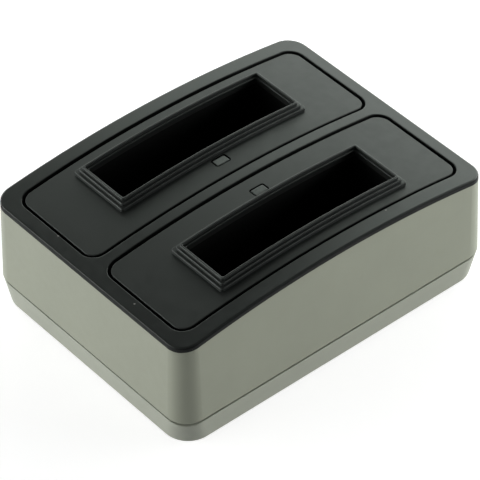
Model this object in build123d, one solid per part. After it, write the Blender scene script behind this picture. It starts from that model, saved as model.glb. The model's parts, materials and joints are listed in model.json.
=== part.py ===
from build123d import *
import math
import os

# A desktop charger with two battery wells. X runs along its length, Y from the front to the rear,
# Z up. The origin is on the surface that it stands on, under the middle. All sizes are in millimetres.

# Outer form
length = 60.0            # at the parting line
width = 45.2             # at the parting line
crown_height = 22.5      # top of the arched cover at mid length
arch_sag = 2.5           # how far the arch has fallen at each end
corner_radius = 3.6      # plan corners at the parting line
draft_angle = 1.7        # degrees, how far the walls lean in
shell_wall = 1.6         # housing wall
fit_gap = 0.1            # clearance between mouldings that slip together
corner_share = 0.45      # largest corner radius, as a share of the shorter side
spare = 1.0              # how far a cutting body runs past what it cuts
same_place = 0.001       # how far off a surface an edge may lie and still be on it

# Bottom cover and feet
base_height = 5.0        # from its underside to the parting line
base_step = 0.15         # how far its rim stands inside the housing's skin
base_draft_angle = 5.0   # degrees, how far its walls lean in towards the foot
base_corner_radius = 4.6 # plan corners at the foot
base_floor = 1.5
base_wall = 2.0
base_edge_radius = 1.0
seam_gap = 0.52          # open line between housing and bottom cover
seam_edge_radius = 0.15  # edges along that line
tongue_height = 1.1      # rim that reaches up inside the housing
tongue_wall = 1.4
floor_rib_height = 1.2
floor_rib_width = 1.0
floor_rib_y = 7.8        # from the middle to a long rib
foot_proud = 0.5
foot_recess = 0.8
foot_radius = 2.9
foot_edge_radius = 0.4

# Bosses and screws at the corners of the case
boss_inset = 5.0         # from the skin at the parting line to a boss axis
boss_radius = 2.2
boss_rib = 1.0
column_radius = 3.1      # under each boss, on the bottom cover
screw_radius = 1.0
screw_head_radius = 1.8
screw_head_height = 1.3
screw_seat = 1.2         # thickness of plastic under the head
screw_bite = 5.0         # how far the screw reaches into the boss
screw_gap = 0.05         # round a shank in its hole
head_gap = 0.2           # round a head in its recess

# Top cover
cover_edge = 0.8         # height of its dark edge above the housing
cover_edge_radius = 0.35
cover_thickness = 2.0
end_rim = 2.3            # from the edge of the cover to a bay opening, at the short ends
side_rim = 2.65          # the same along the front and the rear
centre_bar = 1.8         # between the two bay openings
opening_corner_radius = 2.6
ledge_width = 1.2        # carries an insert
ledge_corner_radius = 6.0
skirt_depth = 3.4        # reaches down inside the housing
skirt_wall = 1.0
pin_radius = 0.8         # cover pins stand in the tops of the bosses
pin_length = 3.0
line_edge_radius = 0.12  # edges along the open line round an insert

# Bay inserts
groove_gap = 0.52        # open line round an insert
insert_recess = 0.12     # how far an insert's plate lies below the cover's top
insert_plate = 1.2
well_length = 32.8
well_width = 8.4
well_offset = 1.18       # from the middle of the bay, outwards
well_wall = 1.1
well_floor = 1.2
well_corner_radius = 0.3
rim_height = 1.37        # of the collar above the arched top
rim_land = 0.32          # width of the collar's rim
upper_step_land = 0.38   # the two steps outside it, at equal drops
lower_step_land = 0.46
mouth_land = 0.37        # ledge inside the rim, which leads the battery in
mouth_drop = 0.48        # from the rim down to that ledge
collar_corner_radius = 0.4
collar_edge_radius = 0.12
hook_width = 3.0
hook_leg = 0.9
hook_barb = 0.5
hook_drop = 1.1          # height of a barb
hook_spread = 19.0       # from mid length to a hook

# Indicator windows and light pipes
pipe_length = 2.6        # along X
pipe_width = 1.65
pipe_corner_radius = 0.35
pipe_gap = 0.12          # round a pipe in its window
pipe_recess = 0.05       # top of a pipe below the insert's plate
pipe_edge_radius = 0.25
pipe_flange = 0.4        # how far the flange stands out
pipe_flange_height = 0.8
window_margin = 0.37     # between a collar and a window

# Circuit board
board_rise = 0.5         # board underside above the parting line
board_thickness = 1.2
board_inset = 3.8        # from the skin to the edge of the board
board_notch = 0.6        # round a boss
board_corner_radius = 0.8
post_radius = 1.9
post_spread_x = 14.0
post_spread_y = 15.5
board_screw_spread = 21.5
board_screw_bite = 2.6
led_length = 2.0
led_width = 1.25
led_height = 1.1
led_gap = 0.3            # between a lamp and its light pipe
chip_length = 4.9
chip_width = 3.9
chip_height = 1.5
chip_spread = 9.0        # from mid length to a chip
chip_lead_count = 4      # on each long side
chip_lead_pitch = 1.27
chip_lead_width = 0.4
chip_lead_reach = 1.0
small_part_length = 2.0
small_part_width = 1.25
small_part_height = 0.6
small_part_pitch = 3.6
small_part_row = 2.0     # from the middle of the board to a row
resistor_count = 3       # in each half of the board
capacitor_count = 2

# Power inlet in the rear wall
socket_top_width = 7.4
socket_base_width = 5.6
socket_height = 2.6
socket_depth = 5.2
socket_wall = 0.3
socket_bend = 0.5        # outer radius of the shell's bends
socket_recess = 0.6      # behind the housing's skin
socket_gap = 0.5         # round the socket in the wall
tongue_bar_width = 3.8
tongue_bar_height = 0.7
tongue_bar_depth = 3.6
socket_back = 1.2        # insulator that fills the rear of the shell

# Sprung contacts
contact_offset = 7.0     # from the middle of a well
contact_pitch = 5.0
barrel_radius = 1.2
barrel_bore = 0.8
barrel_floor = 0.3
barrel_lip = 0.35
barrel_foot_radius = 1.6
barrel_foot_height = 0.35
barrel_gap = 0.2         # between a barrel and the floor of its well
plunger_radius = 0.55
plunger_head = 0.5       # thickness of the head that the barrel holds back
plunger_travel = 1.2
plunger_rest = 0.2       # left above the floor of the well when pressed right down
plunger_fit = 0.05       # running fit of plunger and barrel
plunger_hole_gap = 0.3   # round a plunger in the floor of its well
spring_wall = 0.3
spring_pressed = 0.4     # length of the spring when pressed right down

# Heights that follow
parting = foot_proud + base_height
floor_top = foot_proud + base_floor
recess_top = foot_recess + foot_proud
board_bottom = parting + board_rise
board_top = board_bottom + board_thickness
spring_bottom = board_top + barrel_floor
spring_top = spring_bottom + spring_pressed + plunger_travel
head_top = spring_top + plunger_head
barrel_top = head_top + plunger_fit + barrel_lip
well_floor_bottom = barrel_top + barrel_gap
well_floor_top = well_floor_bottom + well_floor
plunger_tip = well_floor_top + plunger_rest + plunger_travel
above_all = crown_height + rim_height + spare

# Plan positions that follow
lean = math.tan(math.radians(draft_angle))
boss_x = length / 2 - boss_inset
boss_y = width / 2 - boss_inset
top_inset = lean * (crown_height - parting)
end_inset = lean * (crown_height - arch_sag - parting)
opening_length = length - 2 * (end_inset + end_rim)
opening_width = (width - centre_bar) / 2 - top_inset - side_rim
bay_y = centre_bar / 2 + opening_width / 2
well_y = bay_y + well_offset
collar_lands = (rim_land, upper_step_land, lower_step_land)
collar_reach = mouth_land + sum(collar_lands)
pipe_y = well_y - well_width / 2 - collar_reach - window_margin - pipe_width / 2
arch_radius = ((length / 2) ** 2 + arch_sag**2) / (2 * arch_sag)
corners = [(sx * boss_x, sy * boss_y) for sx in (-1, 1) for sy in (-1, 1)]
contact_places = [contact_offset - contact_pitch / 2, contact_offset + contact_pitch / 2]
socket_mouth = width / 2 - lean * (board_top - parting) - socket_recess
socket_rear = socket_mouth - socket_depth


def arch_height(x, depth=0.0):
    """Height of the surface that lies a depth under the arched top, at x."""
    radius = arch_radius - depth
    return crown_height - arch_radius + math.sqrt(radius**2 - x**2)


def under_arch(depth):
    """All that lies below the surface a depth under the arched top."""
    axis = Pos(0, 0, crown_height - arch_radius) * Rot(90, 0, 0)
    return axis * Cylinder(arch_radius - depth, 2 * width)


def layer(upper, lower):
    """What lies between two depths under the arched top."""
    return under_arch(upper) - under_arch(lower)


def rounded(size_x, size_y, radius):
    """A rounded rectangle whose corners stay inside its sides."""
    return RectangleRounded(size_x, size_y, min(radius, corner_share * min(size_x, size_y)))


def prism(outline, bottom, top):
    """An outline carried straight up from one height to another."""
    return extrude(Pos(0, 0, bottom) * outline, amount=top - bottom)


def disc(x, y, radius, bottom, top):
    """A round post on a vertical axis."""
    return prism(Pos(x, y) * Circle(radius), bottom, top)


def skin_block(inset, bottom, top):
    """The drafted body of the case, set in from the housing's skin."""
    shrink = inset + lean * (bottom - parting)
    radius = max(corner_radius - shrink, shell_wall / 2)
    outline = rounded(length - 2 * shrink, width - 2 * shrink, radius)
    return extrude(Pos(0, 0, bottom) * outline, amount=top - bottom, taper=draft_angle)


def base_block(inset, bottom):
    """The drafted body of the bottom cover, from under the parting line down to a height."""
    top = parting - seam_gap
    rim_shrink = base_step + inset
    foot_shrink = rim_shrink + math.tan(math.radians(base_draft_angle)) * (top - bottom)
    rim_radius = max(corner_radius - rim_shrink, shell_wall / 2)
    foot_corner = max(base_corner_radius - inset, shell_wall / 2)
    rim = rounded(length - 2 * rim_shrink, width - 2 * rim_shrink, rim_radius)
    foot = rounded(length - 2 * foot_shrink, width - 2 * foot_shrink, foot_corner)
    return loft([Pos(0, 0, bottom) * foot, Pos(0, 0, top) * rim], ruled=True)


def bay_outline(inset, radius):
    """Plan of the rear bay's opening, set in by an amount."""
    return Pos(0, bay_y) * rounded(opening_length - 2 * inset, opening_width - 2 * inset, radius)


def well_outline(outset, radius):
    """Plan of the rear well, set out by an amount."""
    return Pos(0, well_y) * rounded(well_length + 2 * outset, well_width + 2 * outset, radius)


def edges_on(body, depth, size_x, size_y, middle_y, band):
    """Edges on the surface a depth under the arched top that keep within a band of a plan rectangle."""
    found = []
    for edge in body.edges():
        ends = [edge.position_at(place) for place in (0, 0.5, 1)]
        if any(abs(end.Z - arch_height(end.X, depth)) > same_place for end in ends):
            continue
        beyond = max(abs(ends[1].X) - size_x / 2, abs(ends[1].Y - middle_y) - size_y / 2)
        if abs(beyond) < band:
            found.append(edge)
    return found


def boss_top():
    """Height of the bosses, which end just under the top cover."""
    return arch_height(boss_x + boss_radius, cover_thickness) - fit_gap


def corner_notch(x, y, clear):
    """Plan of the room round the boss at x, y, out past the corner of the case."""
    side = 2 * (boss_inset + clear)
    return Pos(math.copysign(length / 2, x), math.copysign(width / 2, y)) * Rectangle(side, side)


def to_front(shape):
    """The same piece in the front bay: turned half round about the middle of the charger."""
    return Rot(0, 0, 180) * shape


def make_housing():
    body = skin_block(0, parting, above_all) & under_arch(cover_edge)
    body = fillet(body.faces().sort_by(Axis.Z)[0].edges(), seam_edge_radius)
    body -= skin_block(shell_wall, parting, above_all)
    room = skin_block(shell_wall / 2, parting, above_all)
    for x, y in corners:
        boss = disc(x, y, boss_radius, parting, boss_top())
        along_x = Pos(x + math.copysign(boss_inset / 2, x), y) * Rectangle(boss_inset, boss_rib)
        along_y = Pos(x, y + math.copysign(boss_inset / 2, y)) * Rectangle(boss_rib, boss_inset)
        ribs = prism(along_x + along_y, parting, boss_top() - skirt_depth) & room
        body += boss + ribs
    for x, y in corners:
        body -= disc(x, y, screw_radius + screw_gap, parting, parting + screw_bite + screw_gap)
        body -= disc(x, y, pin_radius + fit_gap, boss_top() - pin_length - fit_gap, boss_top())
    socket_z = board_top + socket_height / 2
    hole = rounded(socket_top_width + 2 * socket_gap, socket_height + 2 * socket_gap, socket_height / 2)
    rear = Plane(origin=(0, width / 2 - 2 * shell_wall, socket_z), x_dir=(-1, 0, 0), z_dir=(0, 1, 0))
    return body - extrude(rear * hole, amount=4 * shell_wall)


def make_bottom_cover():
    body = base_block(0, foot_proud)
    body = fillet(body.faces().sort_by(Axis.Z)[0].edges(), base_edge_radius)
    body = fillet(body.faces().sort_by(Axis.Z)[-1].edges(), seam_edge_radius)
    body -= base_block(base_wall, floor_top)
    tongue_inset = shell_wall + fit_gap
    tongue_top = parting + tongue_height
    tongue = skin_block(tongue_inset, parting - base_height / 2, tongue_top)
    tongue -= skin_block(tongue_inset + tongue_wall, parting - base_height / 2, tongue_top)
    clear = boss_radius + 2 * boss_rib
    for x, y in corners:
        tongue -= prism(corner_notch(x, y, clear), parting - seam_gap, tongue_top)
    body += tongue
    for y in (-floor_rib_y, floor_rib_y):
        rib = Pos(0, y) * Rectangle(2 * boss_x, floor_rib_width)
        body += prism(rib, floor_top, floor_top + floor_rib_height)
    for x in (-post_spread_x, post_spread_x):
        rib = Pos(x, 0) * Rectangle(floor_rib_width, 2 * boss_y)
        body += prism(rib, floor_top, floor_top + floor_rib_height)
        for y in (-post_spread_y, post_spread_y):
            body += disc(x, y, post_radius, floor_top, board_bottom)
    for x in (-board_screw_spread, board_screw_spread):
        body += disc(x, 0, post_radius, floor_top, board_bottom)
        hole_bottom = board_bottom - board_screw_bite - screw_gap
        body -= disc(x, 0, screw_radius + screw_gap, hole_bottom, board_bottom)
    for x, y in corners:
        body += disc(x, y, column_radius, floor_top, parting)
    for x, y in corners:
        body -= disc(x, y, foot_radius + fit_gap, foot_proud, recess_top)
        body -= disc(x, y, screw_head_radius + head_gap, recess_top, parting - screw_seat)
        body -= disc(x, y, screw_radius + screw_gap, parting - screw_seat, parting)
    return body


def make_top_cover():
    slab = skin_block(0, parting, above_all) & layer(0, cover_edge)
    slab = fillet(slab.faces().sort_by(Axis.Z)[-1].edges(), cover_edge_radius)
    inner = shell_wall + fit_gap
    inside = skin_block(inner, parting, above_all)
    slab += inside & layer(cover_edge, cover_thickness)
    skirt = inside - skin_block(inner + skirt_wall, parting, above_all)
    for x, y in corners:
        skirt -= disc(x, y, boss_radius + 2 * fit_gap, parting, above_all)
    slab += skirt & layer(cover_thickness, skirt_depth)
    upper = prism(bay_outline(0, opening_corner_radius), parting, above_all) - under_arch(insert_plate)
    lower = prism(bay_outline(ledge_width, ledge_corner_radius), parting, above_all)
    for opening in (upper, lower):
        slab -= opening
        slab -= to_front(opening)
    for x, y in corners:
        pin = disc(x, y, pin_radius, boss_top() - pin_length, above_all)
        slab += pin & under_arch((insert_plate + cover_thickness) / 2)
    line = []
    for y in (-bay_y, bay_y):
        line += edges_on(slab, 0, opening_length, opening_width, y, opening_corner_radius / 3)
    return fillet(line, line_edge_radius)


def make_hook(x, side):
    """A snap hook under the insert's plate, on one of its long sides, with its barb under the ledge."""
    edge = opening_width / 2 - ledge_width - fit_gap
    barb_top = arch_height(abs(x) + hook_width / 2, cover_thickness) - fit_gap
    top = arch_height(x, insert_plate)
    barb_bottom = barb_top - hook_drop
    profile = Polyline(
        (edge - hook_leg, top),
        (edge, top),
        (edge, barb_top),
        (edge + hook_barb, barb_top),
        (edge, barb_bottom),
        (edge - hook_leg, barb_bottom),
        close=True,
    )
    across = Plane(origin=(x - hook_width / 2, bay_y, 0), x_dir=(0, side, 0), z_dir=(side, 0, 0))
    reach = hook_width if side > 0 else -hook_width
    return extrude(across * make_face(profile), amount=reach)


def collar_steps():
    """Each step of the collar from the rim outwards: its outset from the well and its height."""
    steps = []
    outset = mouth_land
    rise = rim_height
    for land in collar_lands:
        outset += land
        steps.append((outset, rise))
        rise -= rim_height / len(collar_lands)
    return steps


def collar_edges(body):
    """The upper edges of the collar's rim, its steps and the ledge inside it."""
    rings = [(0, rim_height - mouth_drop), (mouth_land, rim_height)] + collar_steps()
    found = []
    for outset, rise in rings:
        size_x = well_length + 2 * outset
        size_y = well_width + 2 * outset
        found += edges_on(body, -rise, size_x, size_y, well_y, collar_corner_radius / 2)
    return found


def make_bay_insert():
    plate = prism(bay_outline(groove_gap, opening_corner_radius - groove_gap), parting, above_all)
    body = plate & layer(insert_recess, insert_plate)
    for outset, rise in collar_steps():
        terrace = prism(well_outline(outset, collar_corner_radius), parting, above_all)
        body += terrace & layer(-rise, insert_plate)
    well = prism(well_outline(well_wall, collar_corner_radius), well_floor_bottom, above_all)
    body += well & under_arch(insert_plate / 2)
    body -= prism(well_outline(0, well_corner_radius), well_floor_top, above_all)
    mouth = prism(well_outline(mouth_land, well_corner_radius), parting, above_all)
    body -= mouth - under_arch(mouth_drop - rim_height)
    body = fillet(collar_edges(body), collar_edge_radius)
    size_x = opening_length - 2 * groove_gap
    size_y = opening_width - 2 * groove_gap
    line = edges_on(body, insert_recess, size_x, size_y, bay_y, opening_corner_radius / 3)
    body = fillet(line, line_edge_radius)
    for x in (-hook_spread, hook_spread):
        for side in (-1, 1):
            body += make_hook(x, side)
    window = rounded(pipe_length + 2 * pipe_gap, pipe_width + 2 * pipe_gap, pipe_corner_radius + pipe_gap)
    body -= prism(Pos(0, pipe_y) * window, well_floor_top, above_all)
    for x in contact_places:
        body -= disc(x, well_y, plunger_radius + plunger_hole_gap, well_floor_bottom, well_floor_top)
    return body


def make_light_pipe():
    bottom = board_top + led_height + led_gap
    shaft = Pos(0, pipe_y) * rounded(pipe_length, pipe_width, pipe_corner_radius)
    body = prism(shaft, bottom, above_all) & under_arch(insert_recess + pipe_recess)
    body = fillet(body.faces().sort_by(Axis.Z)[-1].edges(), pipe_edge_radius)
    flange_top = arch_height(pipe_length, insert_plate)
    flange = Pos(0, pipe_y) * rounded(
        pipe_length + 2 * pipe_flange, pipe_width + 2 * pipe_flange, pipe_corner_radius + pipe_flange
    )
    return body + prism(flange, flange_top - pipe_flange_height, flange_top)


def make_main_board():
    board = rounded(length - 2 * board_inset, width - 2 * board_inset, board_corner_radius)
    for x, y in corners:
        board -= corner_notch(x, y, boss_radius + board_notch)
    for x in (-board_screw_spread, board_screw_spread):
        board -= Pos(x, 0) * Circle(screw_radius + screw_gap)
    return prism(board, board_bottom, board_top)


def make_screw(x, y, seat, reach, pointing_up):
    """A pan-head screw whose head sits against a seat."""
    profile = Polyline(
        (0, -screw_head_height),
        (screw_head_radius / 2, -screw_head_height),
        (screw_head_radius, -screw_head_height / 2),
        (screw_head_radius, 0),
        (screw_radius, 0),
        (screw_radius, reach - screw_radius),
        (screw_radius / 2, reach),
        (0, reach),
        close=True,
    )
    screw = revolve(Plane.XZ * make_face(profile), Axis.Z)
    turn = Rot(0, 0, 0) if pointing_up else Rot(180, 0, 0)
    return Pos(x, y, seat) * turn * screw


def make_foot(x, y):
    body = disc(x, y, foot_radius, 0, recess_top)
    return fillet(body.faces().sort_by(Axis.Z)[0].edges(), foot_edge_radius)


def socket_profile(inset):
    """Outline of the inlet, narrower at the foot, seen from behind the charger."""
    top = socket_top_width / 2 - inset
    foot = socket_base_width / 2 - inset
    low = inset
    high = socket_height - inset
    shoulder = (low + high) / 2
    points = [(-foot, low), (foot, low), (top, shoulder), (top, high), (-top, high), (-top, shoulder)]
    outline = make_face(Polyline(*points, close=True))
    return fillet(outline.vertices(), socket_bend - inset)


def socket_plane(y):
    """A plane across the inlet at y, looking out of the rear wall."""
    return Plane(origin=(0, y, board_top), x_dir=(-1, 0, 0), z_dir=(0, 1, 0))


def make_socket_shell():
    shell = extrude(socket_plane(socket_rear) * socket_profile(0), amount=socket_depth)
    return shell - extrude(socket_plane(socket_rear) * socket_profile(socket_wall), amount=socket_depth)


def make_socket_tongue():
    back = extrude(socket_plane(socket_rear) * socket_profile(socket_wall), amount=socket_back)
    bar = Pos(0, socket_height / 2) * Rectangle(tongue_bar_width, tongue_bar_height)
    return back + extrude(socket_plane(socket_rear) * bar, amount=tongue_bar_depth)


def make_chip(x, y):
    """A small moulded package with a row of leads on each long side."""
    lead_top = board_top + chip_height / 2
    thick = chip_lead_width / 2
    outline = Pos(x, y) * Rectangle(chip_length, chip_width)
    body = prism(outline, board_top + thick, board_top + chip_height)
    body = chamfer(body.faces().sort_by(Axis.Z)[-1].edges(), thick)
    for index in range(chip_lead_count):
        lead_x = x + (index - (chip_lead_count - 1) / 2) * chip_lead_pitch
        for side in (-1, 1):
            edge = side * chip_width / 2
            knee = side * (chip_width / 2 + chip_lead_reach / 2)
            toe = side * (chip_width / 2 + chip_lead_reach)
            profile = Polyline(
                (edge - side * thick, lead_top),
                (knee + side * thick, lead_top),
                (knee + side * thick, board_top + thick),
                (toe, board_top + thick),
                (toe, board_top),
                (knee, board_top),
                (knee, lead_top - thick),
                (edge - side * thick, lead_top - thick),
                close=True,
            )
            across = Plane(origin=(lead_x, y, 0), x_dir=(0, 1, 0), z_dir=(1, 0, 0))
            body += extrude(across * make_face(profile), amount=thick, both=True)
    return body


def make_led():
    body = prism(Pos(0, pipe_y) * Rectangle(led_length, led_width), board_top, board_top + led_height / 2)
    lens = Pos(0, pipe_y) * rounded(led_length - led_height / 2, led_width - led_height / 4, led_height / 4)
    return body + extrude(
        Pos(0, 0, board_top + led_height / 2) * lens, amount=led_height / 2, taper=2 * draft_angle
    )


def make_small_parts(count, y):
    """A row of like components in each half of the board."""
    parts = []
    for index in range(count):
        for side in (-1, 1):
            x = side * (board_screw_spread - (index + 1) * small_part_pitch)
            outline = Pos(x, side * y) * Rectangle(small_part_width, small_part_length)
            parts.append(prism(outline, board_top, board_top + small_part_height))
    return Compound(children=parts)


def revolved(points, x):
    """A turned piece on the axis of a contact in the rear bay."""
    return Pos(x, well_y) * revolve(Plane.XZ * make_face(Polyline(*points, close=True)), Axis.Z)


def make_barrel(x):
    lip = plunger_radius + plunger_fit
    return revolved(
        [
            (0, board_top),
            (barrel_foot_radius, board_top),
            (barrel_foot_radius, board_top + barrel_foot_height),
            (barrel_radius, board_top + barrel_foot_height),
            (barrel_radius, barrel_top),
            (lip, barrel_top),
            (lip, barrel_top - barrel_lip),
            (barrel_bore, barrel_top - barrel_lip),
            (barrel_bore, spring_bottom),
            (0, spring_bottom),
        ],
        x,
    )


def make_plunger(x):
    head = barrel_bore - plunger_fit
    dome = plunger_radius
    outline = Polyline(
        (0, plunger_tip),
        (0, spring_top),
        (head, spring_top),
        (head, head_top),
        (plunger_radius, head_top),
        (plunger_radius, plunger_tip - dome),
    )
    nose = RadiusArc((plunger_radius, plunger_tip - dome), (0, plunger_tip), -dome)
    return Pos(x, well_y) * revolve(Plane.XZ * make_face(outline + nose), Axis.Z)


def make_spring(x):
    outer = barrel_bore - plunger_fit
    inner = outer - spring_wall
    return revolved(
        [(inner, spring_bottom), (outer, spring_bottom), (outer, spring_top), (inner, spring_top)],
        x,
    )


def build_nodes():
    """Every piece of the charger, by name."""
    nodes = {
        "housing": make_housing(),
        "bottom_cover": make_bottom_cover(),
        "top_cover": make_top_cover(),
        "main_board": make_main_board(),
        "usb_socket_shell": make_socket_shell(),
        "usb_socket_tongue": make_socket_tongue(),
        "chip_resistors": make_small_parts(resistor_count, small_part_row),
        "chip_capacitors": make_small_parts(capacitor_count, -small_part_row),
    }
    rear_pieces = {
        "bay_insert": make_bay_insert(),
        "light_pipe": make_light_pipe(),
        "led": make_led(),
        "charge_chip": make_chip(-chip_spread, well_y),
    }
    for sign, x in zip(("plus", "minus"), contact_places):
        rear_pieces[sign + "_barrel"] = make_barrel(x)
        rear_pieces[sign + "_plunger"] = make_plunger(x)
        rear_pieces[sign + "_spring"] = make_spring(x)
    for name, piece in rear_pieces.items():
        nodes["rear_" + name] = piece
        nodes["front_" + name] = to_front(piece)
    seat = parting - screw_seat
    nodes["case_screws"] = Compound(
        children=[make_screw(x, y, seat, screw_seat + screw_bite, True) for x, y in corners]
    )
    reach = board_thickness + board_screw_bite
    places = (-board_screw_spread, board_screw_spread)
    nodes["board_screws"] = Compound(children=[make_screw(x, 0, board_top, reach, False) for x in places])
    for x, y in corners:
        side = "left" if x < 0 else "right"
        end = "front" if y < 0 else "rear"
        nodes[end + "_" + side + "_foot"] = make_foot(x, y)
    return nodes


os.makedirs("parts", exist_ok=True)
for node_name, solid in build_nodes().items():
    export_step(solid, "parts/" + node_name + ".step")
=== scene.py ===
import json
import math

import bmesh
import bpy
from mathutils import Matrix, Vector
from mathutils.noise import noise_vector


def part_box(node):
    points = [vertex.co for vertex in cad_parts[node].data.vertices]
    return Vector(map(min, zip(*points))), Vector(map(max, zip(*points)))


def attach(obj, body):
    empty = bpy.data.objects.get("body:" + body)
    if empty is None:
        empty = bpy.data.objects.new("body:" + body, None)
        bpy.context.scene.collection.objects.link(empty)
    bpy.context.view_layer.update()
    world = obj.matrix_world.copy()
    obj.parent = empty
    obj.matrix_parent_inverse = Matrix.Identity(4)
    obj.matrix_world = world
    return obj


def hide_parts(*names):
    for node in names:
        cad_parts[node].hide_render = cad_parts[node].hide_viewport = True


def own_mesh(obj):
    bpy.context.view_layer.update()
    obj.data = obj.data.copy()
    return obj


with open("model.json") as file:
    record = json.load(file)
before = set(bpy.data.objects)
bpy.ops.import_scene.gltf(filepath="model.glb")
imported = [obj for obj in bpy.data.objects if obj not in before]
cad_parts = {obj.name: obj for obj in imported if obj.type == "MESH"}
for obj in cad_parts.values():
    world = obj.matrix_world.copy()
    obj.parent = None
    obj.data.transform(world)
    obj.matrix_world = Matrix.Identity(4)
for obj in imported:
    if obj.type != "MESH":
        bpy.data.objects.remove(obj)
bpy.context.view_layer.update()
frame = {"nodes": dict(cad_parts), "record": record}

nodes = frame["nodes"]
record = frame["record"]
scene = bpy.context.scene
MM = 0.001

# Camera, fitted to the edges of the charger in the photograph
camera_azimuth = math.radians(-39.814)
camera_elevation = math.radians(42.156)
camera_roll = math.radians(-0.718)
camera_distance = 480.66 * MM
camera_lens = 238.94            # in millimetres, like the width of the sensor
camera_sensor = 36.0
aim_height = 10.08 * MM
aim_right = -0.112 * MM
aim_up = -0.525 * MM

# Soft walls of light, turned round from the camera's side. A glow of 1 looks white
side_distance = 520 * MM
side_width = 620 * MM
side_height = 170 * MM
side_rise = math.radians(9.5)
left_turn = math.radians(-85)
left_glow = 9.0
right_turn = math.radians(102)
right_glow = 11.2
right_shine = 4.0               # of a second wall, which only gloss shows
shine_step = 30 * MM            # how far it stands in front of the first
back_distance = 215 * MM
back_width = 420 * MM
back_height = 178 * MM
back_rise = math.radians(22.5)
back_turn = math.radians(176)
back_glow = 1.86
back_colour = (0.945, 1.0, 0.955)

# Floor
floor_half = 1500 * MM
floor_shade = 0.68
floor_roughness = 0.9
floor_glow = 0.75               # seen by the camera and by gloss, so that the floor looks white

# Plain light from all round
world_low = 1.0                 # white at the horizon, as the camera and gloss see it
world_high = 0.06               # overhead
world_bright = math.radians(6)  # it falls from one to the other between these heights
world_dark = math.radians(32)
world_share = 0.05              # how much of it lights matt surfaces

# Colours, as the shares of red, green and blue light that they give back
white = (1.0, 1.0, 1.0)
grey_colour = (0.282, 0.297, 0.233)
base_colour = (0.332, 0.349, 0.288)
dark_colour = (0.0185, 0.0205, 0.0196)
window_colour = (0.070, 0.078, 0.074)
board_colour = (0.012, 0.085, 0.030)
black_colour = (0.012, 0.012, 0.012)
lamp_colour = (0.72, 0.72, 0.62)
component_colour = (0.06, 0.05, 0.035)
rubber_colour = (0.022, 0.022, 0.022)
# of the specks of dust, and of a painted glint on the top cover
dust_and_glint_colour = (0.28, 0.28, 0.26)
tin_colour = (0.62, 0.62, 0.60)
gold_colour = (0.80, 0.58, 0.22)
wire_colour = (0.52, 0.52, 0.52)
zinc_colour = (0.50, 0.50, 0.48)
gloss_tint = (0.91, 1.0, 0.93)  # of what plastic mirrors

# Unevenness of surfaces. Patches, grain and scratches are counted in a metre
noise_low = 0.3                 # most noise lies between these two
noise_high = 0.7
noise_detail = 2.0
plastic_patches = 90.0
plastic_mottle = 0.03
gloss_patches = 700.0
gloss_change = 0.04
grain_detail = 3.0
grain_strength = 0.5
metal_patches = 400.0
metal_change = 0.06             # of a metal's colour and of its gloss
scratch_count = 6000.0
scratch_strength = 0.2
scratch_depth = 0.003 * MM
floor_patches = 3.0
floor_change = 0.01

# Edges of the arched top and of the inserts in it, more matt and darkened by painted shade, and painted
# shade in the wells
arch_radius = 181.25 * MM       # of the top cover
plate_recess = 0.12 * MM        # how far the inserts' plates lie under it
edge_depth = 0.06 * MM          # the edges of both begin this far under their tops
painted_edge_shade = 0.35               # painted shade: colour and gloss of those edges, beside the tops
painted_edge_gloss = 0.10
edge_step = 0.30                # how much rougher they are
painted_well_shade = 0.45               # painted shade: colour of the wells' inside, beside the rest of an insert
well_margin = 0.15 * MM         # from a well's free space to past its wall

# Parts that don't have the finish of their material slot
own_finish = {
    "bottom_cover": "base_plastic",
    "rear_bay_insert": "insert_plastic",
    "front_bay_insert": "insert_plastic",
}

# Pale specks on the top cover, along and across it: flakes of dust, and the second is a painted glint on the
# edge of the rear insert's groove
dust_and_glint_places = (
    (-28.0 * MM, -9.75 * MM),
    (-27.4 * MM, 8.75 * MM),
    (11.25 * MM, -19.75 * MM),
)
dust_radius = 0.15 * MM
dust_flatness = 0.4
dust_wobble = 0.35
dust_subdivisions = 3

# Springs of the contacts
spring_wire = 0.10 * MM         # radius of the wire
spring_turns = 5.0
spring_end_turns = 0.9          # closed at each end
coil_steps = 28                 # in a turn
wire_sides = 10

# Contact strips on the tongue of the inlet
strip_count = 5
strip_pitch = 0.65 * MM
strip_width = 0.36 * MM
strip_length = 2.2 * MM
strip_height = 0.05 * MM
strip_setback = strip_width     # from the tip of the tongue
strip_bevel = strip_height / 3
strip_bevel_steps = 2
tongue_rise = 0.35 * MM         # from the middle of the inlet to the top of its tongue

finishes = {}                   # materials by name


def link(tree, source, socket):
    """Join an output socket to an input socket."""
    tree.links.new(source, socket)


def add_node(tree, kind, **settings):
    """A new node with its properties and unlinked inputs set by name."""
    node = tree.nodes.new(kind)
    for key, value in settings.items():
        if key in node.inputs:
            node.inputs[key].default_value = value
        else:
            setattr(node, key, value)
    return node


def new_finish(name):
    """A new node material, kept by its name. Gives its tree and its shader."""
    material = bpy.data.materials.new(name)
    material.use_nodes = True
    finishes[name] = material
    return material.node_tree, material.node_tree.nodes["Principled BSDF"]


def own_space(tree):
    """Places in the object's own space."""
    return add_node(tree, "ShaderNodeTexCoord").outputs["Object"]


def split(tree, vector):
    """The parts of a vector, as outputs X, Y and Z."""
    node = add_node(tree, "ShaderNodeSeparateXYZ")
    link(tree, vector, node.inputs[0])
    return node.outputs


def combine(tree, operation, first, second):
    """Two values joined by a sum, a product or the larger of the two."""
    node = add_node(tree, "ShaderNodeMath", operation=operation)
    link(tree, first, node.inputs[0])
    link(tree, second, node.inputs[1])
    return node.outputs[0]


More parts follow.
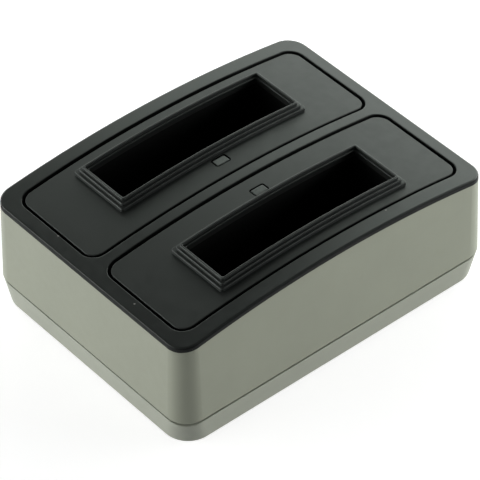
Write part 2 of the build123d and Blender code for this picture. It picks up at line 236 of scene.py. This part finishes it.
def remap(tree, value, old, new, curve="LINEAR"):
    """A value carried from an old range to a new one, and held at its ends."""
    node = add_node(tree, "ShaderNodeMapRange", interpolation_type=curve)
    for socket, end in zip(("From Min", "From Max", "To Min", "To Max"), (*old, *new)):
        node.inputs[socket].default_value = end
    link(tree, value, node.inputs["Value"])
    return node.outputs["Result"]


def between(tree, share, start, end):
    """The value a share of the way from a start to an end."""
    return remap(tree, share, (0, 1), (start, end))


def noise(tree, scale, detail):
    """Noise in the object's own space."""
    texture = add_node(tree, "ShaderNodeTexNoise", Scale=scale, Detail=detail)
    link(tree, own_space(tree), texture.inputs["Vector"])
    return texture.outputs["Fac"]


def vary(tree, scale, middle, change):
    """Noise that runs up to a change either side of a middle."""
    source = noise(tree, scale, noise_detail)
    return remap(tree, source, (noise_low, noise_high), (middle - change, middle + change))


def tint(tree, colour, shade):
    """A colour made lighter and darker by a shade value."""
    scale = add_node(tree, "ShaderNodeVectorMath", operation="SCALE")
    scale.inputs[0].default_value = colour
    link(tree, shade, scale.inputs["Scale"])
    return scale.outputs["Vector"]


def add_grain(tree, shader, scale, detail, strength, depth):
    """Fine bumps or scratches in a surface."""
    bump = add_node(tree, "ShaderNodeBump", Strength=strength, Distance=depth)
    link(tree, noise(tree, scale, detail), bump.inputs["Height"])
    link(tree, bump.outputs["Normal"], shader.inputs["Normal"])


def near_planes(tree, value, middle, reach):
    """1 where a value, on either side of 0, is within reach of a middle, and 0 elsewhere."""
    size = add_node(tree, "ShaderNodeMath", operation="ABSOLUTE")
    link(tree, value, size.inputs[0])
    inside = add_node(tree, "ShaderNodeMath", operation="COMPARE")
    link(tree, size.outputs[0], inside.inputs[0])
    inside.inputs[1].default_value = middle
    inside.inputs[2].default_value = reach
    return inside.outputs[0]


def well_shade_mask(tree):
    """1 inside the two battery wells, up to just past their walls, and 0 elsewhere: where painted shade
    darkens them.
    """
    low, high = [Vector(corner) for corner in record["physics"]["openings"][0]["box_m"]]
    middle = (low + high) / 2
    reach = (high - low) / 2
    place = split(tree, own_space(tree))
    along = near_planes(tree, place["X"], 0, reach.x + well_margin)
    across = near_planes(tree, place["Y"], abs(middle.y), reach.y + well_margin)
    return combine(tree, "MULTIPLY", along, across)


def arch_axis_height():
    """Height of the axis that the top cover is arched about."""
    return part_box("top_cover")[1].z - arch_radius


def under_arch(tree, radius):
    """0 on an arched top of a radius and above it, and 1 below it, on the edges of that top."""
    offset = add_node(tree, "ShaderNodeVectorMath", operation="SUBTRACT")
    link(tree, own_space(tree), offset.inputs[0])
    offset.inputs[1].default_value = (0, 0, arch_axis_height())
    flat = add_node(tree, "ShaderNodeVectorMath", operation="MULTIPLY")
    link(tree, offset.outputs["Vector"], flat.inputs[0])
    flat.inputs[1].default_value = (1, 0, 1)
    reach = add_node(tree, "ShaderNodeVectorMath", operation="LENGTH")
    link(tree, flat.outputs["Vector"], reach.inputs[0])
    return remap(tree, reach.outputs["Value"], (radius - edge_depth, radius - 2 * edge_depth), (0, 1))


def moulded(
    name, colour, roughness, grain, depth,
    mottle=plastic_mottle, patches=plastic_patches, wells=False, top=None,
):
    """Moulded plastic with a fine spark texture.

    Where wells are asked for, painted shade darkens them inside. Below an arched top of a given radius,
    the edges are more matt than the top, and painted shade darkens their colour and gloss.
    """
    tree, shader = new_finish(name)
    shader.inputs["Specular Tint"].default_value = (*gloss_tint, 1.0)
    shade = vary(tree, patches, 1.0, mottle)
    gloss = vary(tree, gloss_patches, roughness, gloss_change)
    # painted shade: the wells are darker inside
    if wells:
        shade = combine(tree, "MULTIPLY", shade, between(tree, well_shade_mask(tree), 1.0, painted_well_shade))
    if top:
        # painted shade: darker colour and dimmer gloss on the edges below the top
        edge = under_arch(tree, top)
        shade = combine(tree, "MULTIPLY", shade, between(tree, edge, 1.0, painted_edge_shade))
        gloss = combine(tree, "ADD", gloss, between(tree, edge, 0.0, edge_step))
        shine = tint(tree, gloss_tint, between(tree, edge, 1.0, painted_edge_gloss))
        link(tree, shine, shader.inputs["Specular Tint"])
    link(tree, tint(tree, colour, shade), shader.inputs["Base Color"])
    link(tree, gloss, shader.inputs["Roughness"])
    add_grain(tree, shader, grain, grain_detail, grain_strength, depth)


def metal(name, colour, roughness):
    """Plated or drawn metal with fine scratches."""
    tree, shader = new_finish(name)
    shader.inputs["Metallic"].default_value = 1.0
    shade = vary(tree, metal_patches, 1.0, metal_change)
    gloss = vary(tree, scratch_count, roughness, metal_change)
    link(tree, tint(tree, colour, shade), shader.inputs["Base Color"])
    link(tree, gloss, shader.inputs["Roughness"])
    add_grain(tree, shader, scratch_count, noise_detail, scratch_strength, scratch_depth)


def make_finishes():
    """The materials of all parts, and of the pale specks of dust and painted glint."""
    moulded("grey_plastic", grey_colour, roughness=0.42, grain=5000.0, depth=0.006 * MM)
    moulded("base_plastic", base_colour, roughness=0.42, grain=5000.0, depth=0.006 * MM)
    moulded("dark_plastic", dark_colour, roughness=0.34, grain=4500.0, depth=0.008 * MM, top=arch_radius)
    moulded(
        "insert_plastic", dark_colour, roughness=0.43, grain=4500.0, depth=0.008 * MM,
        wells=True, top=arch_radius - plate_recess,
    )
    moulded(
        "window_plastic", window_colour, roughness=0.20, grain=3000.0, depth=0.004 * MM,
        mottle=0.25, patches=1400.0,
    )
    moulded("board", board_colour, roughness=0.35, grain=2500.0, depth=0.004 * MM, mottle=0.10)
    moulded("black_plastic", black_colour, roughness=0.50, grain=4000.0, depth=0.006 * MM)
    moulded("lamp", lamp_colour, roughness=0.20, grain=2000.0, depth=0.003 * MM)
    moulded("component", component_colour, roughness=0.50, grain=4000.0, depth=0.006 * MM, mottle=0.10)
    moulded("foot_rubber", rubber_colour, roughness=0.75, grain=3500.0, depth=0.012 * MM)
    # dust, and a painted glint: the finish of the pale specks on the top cover
    moulded(
        "dust_and_glint", dust_and_glint_colour, roughness=0.80, grain=6000.0, depth=0.010 * MM,
        mottle=0.20, patches=3000.0,
    )
    metal("socket_steel", tin_colour, roughness=0.28)
    metal("contact_metal", gold_colour, roughness=0.25)
    metal("spring_steel", wire_colour, roughness=0.32)
    metal("screw_steel", zinc_colour, roughness=0.35)


def finish_parts():
    """Give each part the finish of its material slot, or one of its own."""
    for part in record["subparts"]:
        mesh = nodes[part["node"]].data
        mesh.materials.clear()
        mesh.materials.append(finishes[own_finish.get(part["node"], part["material_slot"])])


def add_piece(name, shape, slot, finish=None):
    """A new piece of the case, made from a bmesh, with the finish of its material slot or one of its own."""
    mesh = bpy.data.meshes.new(name)
    shape.to_mesh(mesh)
    shape.free()
    mesh.shade_smooth()
    mesh.materials.append(finishes[finish or slot])
    piece = bpy.data.objects.new(name, mesh)
    scene.collection.objects.link(piece)
    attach(piece, "case")
    return piece


def coil_rise(turn, length):
    """Height of the wire's middle over the foot of a spring, after a number of turns."""
    pitch = 2 * spring_wire
    closed_turns = min(turn, spring_end_turns) + max(turn - spring_turns + spring_end_turns, 0)
    open_turns = spring_turns - 2 * spring_end_turns
    open_share = min(max((turn - spring_end_turns) / open_turns, 0), 1)
    open_length = length - pitch - 2 * pitch * spring_end_turns
    return spring_wire + pitch * closed_turns + open_length * open_share


def coil_rings(shape, foot, radius, length):
    """Rings of points round the wire, from the foot of a spring to its top."""
    x, y, z = foot
    rings = []
    for step in range(int(spring_turns * coil_steps) + 1):
        turn = step / coil_steps
        angle = 2 * math.pi * turn
        outward = Vector((math.cos(angle), math.sin(angle), 0))
        centre = Vector((x, y, z + coil_rise(turn, length))) + outward * radius
        ring = []
        for side in range(wire_sides):
            around = 2 * math.pi * side / wire_sides
            offset = outward * math.cos(around) + Vector((0, 0, math.sin(around)))
            ring.append(shape.verts.new(centre + offset * spring_wire))
        rings.append(ring)
    return rings


def add_spring(contact):
    """A coil spring in place of the plain sleeve in a contact's barrel."""
    low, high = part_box(contact + "_spring")
    middle = (low + high) / 2
    foot = (middle.x, middle.y, low.z)
    radius = (high.x - low.x) / 2 - spring_wire
    shape = bmesh.new()
    rings = coil_rings(shape, foot, radius, high.z - low.z)
    for first, second in zip(rings, rings[1:]):
        for side in range(wire_sides):
            after = (side + 1) % wire_sides
            shape.faces.new((first[side], first[after], second[after], second[side]))
    shape.faces.new(list(reversed(rings[0])))
    shape.faces.new(rings[-1])
    bmesh.ops.recalc_face_normals(shape, faces=shape.faces)
    spring = add_piece(contact + "_coil", shape, "spring_steel")
    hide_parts(contact + "_spring")
    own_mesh(spring)


def add_inlet_strips():
    """The plated strips on the tongue of the power inlet."""
    low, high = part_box("usb_socket_shell")
    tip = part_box("usb_socket_tongue")[1].y
    y = tip - strip_length / 2 - strip_setback
    z = (low.z + high.z) / 2 + tongue_rise + strip_height / 2
    size = Matrix.Diagonal((strip_width, strip_length, strip_height, 1))
    shape = bmesh.new()
    for index in range(strip_count):
        x = (index - (strip_count - 1) / 2) * strip_pitch
        bmesh.ops.create_cube(shape, size=1.0, matrix=Matrix.Translation((x, y, z)) @ size)
    bmesh.ops.bevel(
        shape, geom=shape.edges, offset=strip_bevel, segments=strip_bevel_steps, affect="EDGES"
    )
    add_piece("inlet_contact_strips", shape, "contact_metal")


def add_dust_and_glint():
    """Small uneven pale flakes that lie on the arched top cover: dust, and one painted glint."""
    shape = bmesh.new()
    flat = Matrix.Diagonal((1, 1, dust_flatness, 1))
    for x, y in dust_and_glint_places:
        z = arch_axis_height() + math.sqrt(arch_radius ** 2 - x ** 2)
        place = Matrix.Translation((x, y, z)) @ flat
        bmesh.ops.create_icosphere(shape, subdivisions=dust_subdivisions, radius=dust_radius, matrix=place)
    for vert in shape.verts:
        vert.co += noise_vector(vert.co / dust_radius) * dust_radius * dust_wobble
    add_piece("dust_and_glint_specks", shape, "lamp", "dust_and_glint")


def direction(azimuth, elevation):
    """The way out from the charger at an azimuth, which is 0 at the front, and an elevation."""
    return Vector((
        math.sin(azimuth) * math.cos(elevation),
        -math.cos(azimuth) * math.cos(elevation),
        math.sin(elevation),
    ))


def add_camera():
    """The camera, turned as the photograph was taken."""
    back = direction(camera_azimuth, camera_elevation)
    level = Vector((math.cos(camera_azimuth), math.sin(camera_azimuth), 0))
    upward = back.cross(level)
    right = level * math.cos(camera_roll) + upward * math.sin(camera_roll)
    up = upward * math.cos(camera_roll) - level * math.sin(camera_roll)
    aim = Vector((0, 0, aim_height)) + right * aim_right + up * aim_up
    data = bpy.data.cameras.new("camera")
    data.sensor_fit = "HORIZONTAL"
    data.sensor_width = camera_sensor
    data.lens = camera_lens
    camera = bpy.data.objects.new("camera", data)
    turn = Matrix((right, up, back)).transposed().to_4x4()
    camera.matrix_world = Matrix.Translation(aim + back * camera_distance) @ turn
    scene.collection.objects.link(camera)
    scene.camera = camera


def add_wall(name, turn, rise, distance, width, height, glow):
    """A large soft wall of light that faces the middle of the charger."""
    outward = direction(camera_azimuth + turn, rise)
    data = bpy.data.lights.new(name, "AREA")
    data.shape = "RECTANGLE"
    data.size = width
    data.size_y = height
    data.energy = glow * math.pi * width * height
    lamp = bpy.data.objects.new(name, data)
    lamp.location = Vector((0, 0, aim_height)) + outward * distance
    lamp.rotation_euler = outward.to_track_quat("Z", "Y").to_euler()
    lamp.visible_camera = False
    scene.collection.objects.link(lamp)
    return lamp


def add_side_wall(name, turn, glow, step=0.0):
    """A wall of light at one side, moved a step nearer."""
    return add_wall(name, turn, side_rise, side_distance - step, side_width, side_height, glow)


def add_lights():
    """Walls of light at the left, right and back. A dimmer one stands in for the right one in gloss."""
    add_side_wall("left_wall", left_turn, left_glow)
    right = add_side_wall("right_wall", right_turn, right_glow)
    right.visible_glossy = False
    shine = add_side_wall("right_shine", right_turn, right_shine, shine_step)
    shine.visible_diffuse = False
    back = add_wall("back_wall", back_turn, back_rise, back_distance, back_width, back_height, back_glow)
    back.data.color = back_colour


def seen_directly(tree):
    """1 for rays from the camera, a gloss or a clear surface, 0 for light on matt surfaces."""
    path = add_node(tree, "ShaderNodeLightPath")
    seen = combine(tree, "MAXIMUM", path.outputs["Is Camera Ray"], path.outputs["Is Glossy Ray"])
    return combine(tree, "MAXIMUM", seen, path.outputs["Is Transmission Ray"])


def light_world():
    """A white surround that darkens overhead."""
    world = bpy.data.worlds.new("surround")
    world.use_nodes = True
    scene.world = world
    tree = world.node_tree
    place = split(tree, add_node(tree, "ShaderNodeTexCoord").outputs["Generated"])
    heights = (math.sin(world_bright), math.sin(world_dark))
    fall = remap(tree, place["Z"], heights, (world_low, world_high), "SMOOTHSTEP")
    share = between(tree, seen_directly(tree), world_share, 1.0)
    background = tree.nodes["Background"]
    background.inputs["Color"].default_value = (*white, 1.0)
    link(tree, combine(tree, "MULTIPLY", fall, share), background.inputs["Strength"])


def add_floor():
    """A plain white floor that keeps a soft shadow."""
    mesh = bpy.data.meshes.new("floor")
    corners = [(-1, -1), (1, -1), (1, 1), (-1, 1)]
    mesh.from_pydata([(x * floor_half, y * floor_half, 0) for x, y in corners], [], [(0, 1, 2, 3)])
    floor = bpy.data.objects.new("floor", mesh)
    scene.collection.objects.link(floor)
    tree, shader = new_finish("floor")
    shade = vary(tree, floor_patches, floor_shade, floor_change)
    link(tree, tint(tree, white, shade), shader.inputs["Base Color"])
    shader.inputs["Roughness"].default_value = floor_roughness
    shader.inputs["Emission Color"].default_value = (*white, 1.0)
    glow = between(tree, seen_directly(tree), 0.0, floor_glow)
    link(tree, glow, shader.inputs["Emission Strength"])
    mesh.materials.append(finishes["floor"])


make_finishes()
finish_parts()
for bay in ("rear", "front"):
    for sign in ("plus", "minus"):
        add_spring(bay + "_" + sign)
add_inlet_strips()
add_dust_and_glint()
add_camera()
add_lights()
light_world()
add_floor()
scene.view_settings.view_transform = "Standard"
